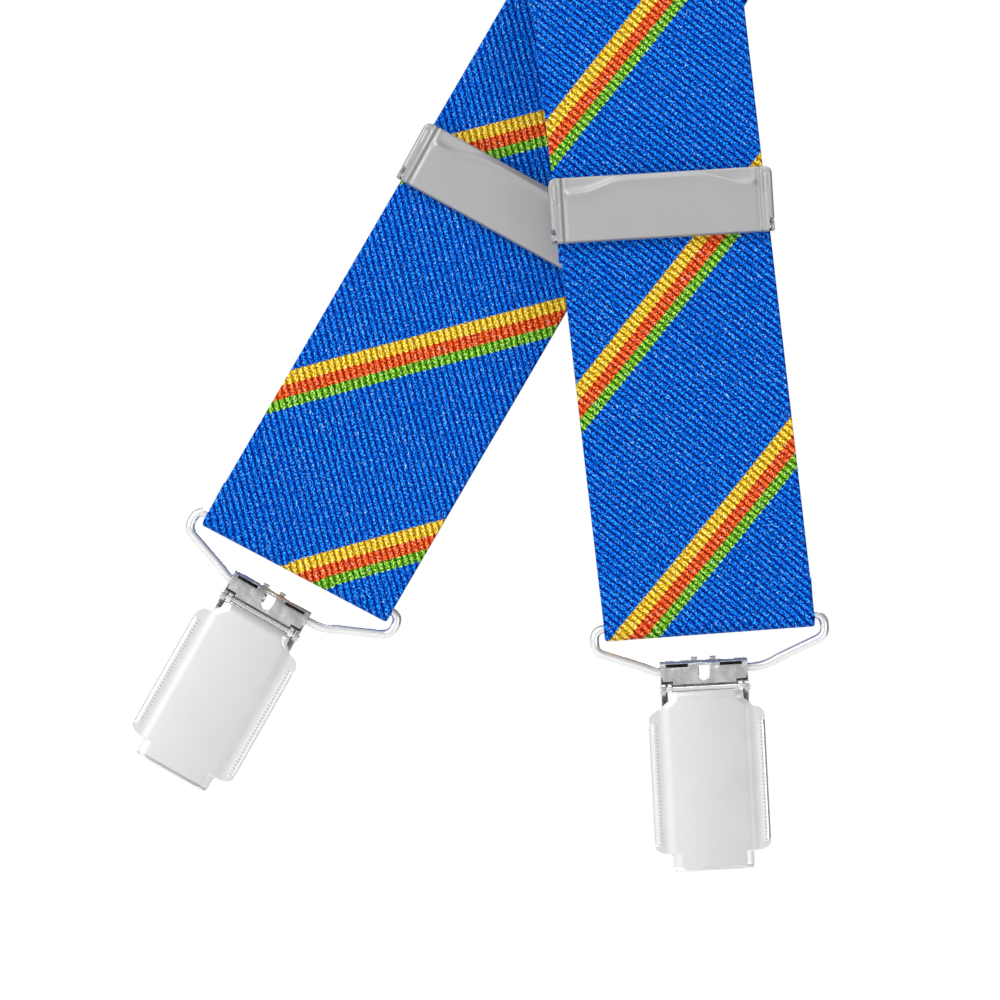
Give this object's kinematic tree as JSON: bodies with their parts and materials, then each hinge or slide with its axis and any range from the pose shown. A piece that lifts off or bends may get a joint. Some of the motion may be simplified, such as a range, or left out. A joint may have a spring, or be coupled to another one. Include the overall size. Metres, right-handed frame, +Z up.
{
  "type": "suspenders",
  "caption": "Y-back clip-on suspenders: striped woven straps crossed in front, slide adjusters with flaps, lever clips on wire loops, and a leather back patch.",
  "frame": {"origin": "middle of the horizontal rail that the shoulder straps hang over (the rail is not part of the object)", "axes": "+Z up, +X to the viewer's right as seen from the wearer's front, +Y towards the wearer's back; the front faces -Y"},
  "size_m": [0.2272, 0.0424, 0.6485],
  "materials": {
    "webbing": "royal blue diagonal rep weave with narrow yellow, orange-red and green stripes",
    "elastic": "plain royal blue ribbed elastic webbing",
    "leather": "black grained leather, stitched edge",
    "satin_steel": "satin nickel-plated steel",
    "nickel": "bright nickel-plated steel",
    "pad_plastic": "moulded nylon"
  },
  "bodies": {
    "straps": {"right_strap": "webbing", "left_strap": "webbing", "right_strap_shoulder": "webbing", "left_strap_shoulder": "webbing", "right_strap_back": "webbing", "left_strap_back": "webbing", "right_strap_return": "webbing", "left_strap_return": "webbing", "back_strap": "elastic", "patch_outer": "leather", "patch_inner": "leather"},
    "right_adjuster": {"right_adjuster_frame": "satin_steel", "right_adjuster_pin": "nickel", "right_strap_end": "webbing"},
    "right_flap": {"right_adjuster_flap": "satin_steel"},
    "left_adjuster": {"left_adjuster_frame": "satin_steel", "left_adjuster_pin": "nickel", "left_strap_end": "webbing"},
    "left_flap": {"left_adjuster_flap": "satin_steel"},
    "right_loop": {"right_wire_loop": "nickel"},
    "right_clip": {"right_clip_body": "nickel", "right_clip_pin": "nickel", "right_jaw_pad": "pad_plastic"},
    "right_lever": {"right_clip_lever": "nickel"},
    "left_loop": {"left_wire_loop": "nickel"},
    "left_clip": {"left_clip_body": "nickel", "left_clip_pin": "nickel", "left_jaw_pad": "pad_plastic"},
    "left_lever": {"left_clip_lever": "nickel"},
    "back_loop": {"back_wire_loop": "nickel"},
    "back_clip": {"back_clip_body": "nickel", "back_clip_pin": "nickel", "back_jaw_pad": "pad_plastic"},
    "back_lever": {"back_clip_lever": "nickel"}
  },
  "joints": [
    {"name": "right_adjuster_slide", "type": "slide", "parent": "straps", "child": "right_adjuster", "axis": [-0.3156, 0, 0.9489], "range_m": [-0.035, 0.14], "deforming": ["right_strap_return"]},
    {"name": "right_flap_open", "type": "hinge", "parent": "right_adjuster", "child": "right_flap", "pos_m": [0.01289, -0.02585, -0.52865], "axis": [0.965, 0, 0.2622], "range_deg": [0, 100]},
    {"name": "right_loop_swing", "type": "hinge", "parent": "straps", "child": "right_loop", "pos_m": [0.03358, -0.0224, -0.59043], "axis": [-0.9613, 0, -0.2756], "range_deg": [-60, 60]},
    {"name": "right_clip_swing", "type": "hinge", "parent": "right_loop", "child": "right_clip", "pos_m": [0.03449, -0.0224, -0.59849], "axis": [-0.9613, 0, -0.2756], "range_deg": [-45, 45]},
    {"name": "right_lever_open", "type": "hinge", "parent": "right_clip", "child": "right_lever", "pos_m": [0.03526, -0.0242, -0.60139], "axis": [-0.9668, 0, -0.2554], "range_deg": [0, 75]},
    {"name": "left_adjuster_slide", "type": "slide", "parent": "straps", "child": "left_adjuster", "axis": [0.3156, 0, 0.9489], "range_m": [-0.035, 0.14], "deforming": ["left_strap_return"]},
    {"name": "left_flap_open", "type": "hinge", "parent": "left_adjuster", "child": "left_flap", "pos_m": [-0.0145, -0.01455, -0.53307], "axis": [0.9563, 0, -0.2924], "range_deg": [0, 15]},
    {"name": "left_loop_swing", "type": "hinge", "parent": "straps", "child": "left_loop", "pos_m": [-0.03526, -0.0111, -0.59483], "axis": [-0.9613, 0, 0.2756], "range_deg": [-60, 60]},
    {"name": "left_clip_swing", "type": "hinge", "parent": "left_loop", "child": "left_clip", "pos_m": [-0.03895, -0.0111, -0.6021], "axis": [-0.9613, 0, 0.2756], "range_deg": [-45, 45]},
    {"name": "left_lever_open", "type": "hinge", "parent": "left_clip", "child": "left_lever", "pos_m": [-0.03987, -0.0129, -0.60495], "axis": [-0.9521, 0, 0.3057], "range_deg": [0, 75]},
    {"name": "back_loop_swing", "type": "hinge", "parent": "straps", "child": "back_loop", "pos_m": [0, 0.0111, -0.43821], "axis": [1, 0, 0], "range_deg": [-15, 60]},
    {"name": "back_clip_swing", "type": "hinge", "parent": "back_loop", "child": "back_clip", "pos_m": [0, 0.0111, -0.44621], "axis": [1, 0, 0], "range_deg": [-15, 45]},
    {"name": "back_lever_open", "type": "hinge", "parent": "back_clip", "child": "back_lever", "pos_m": [0, 0.0129, -0.44921], "axis": [1, 0, 0], "range_deg": [0, 75]}
  ]
}
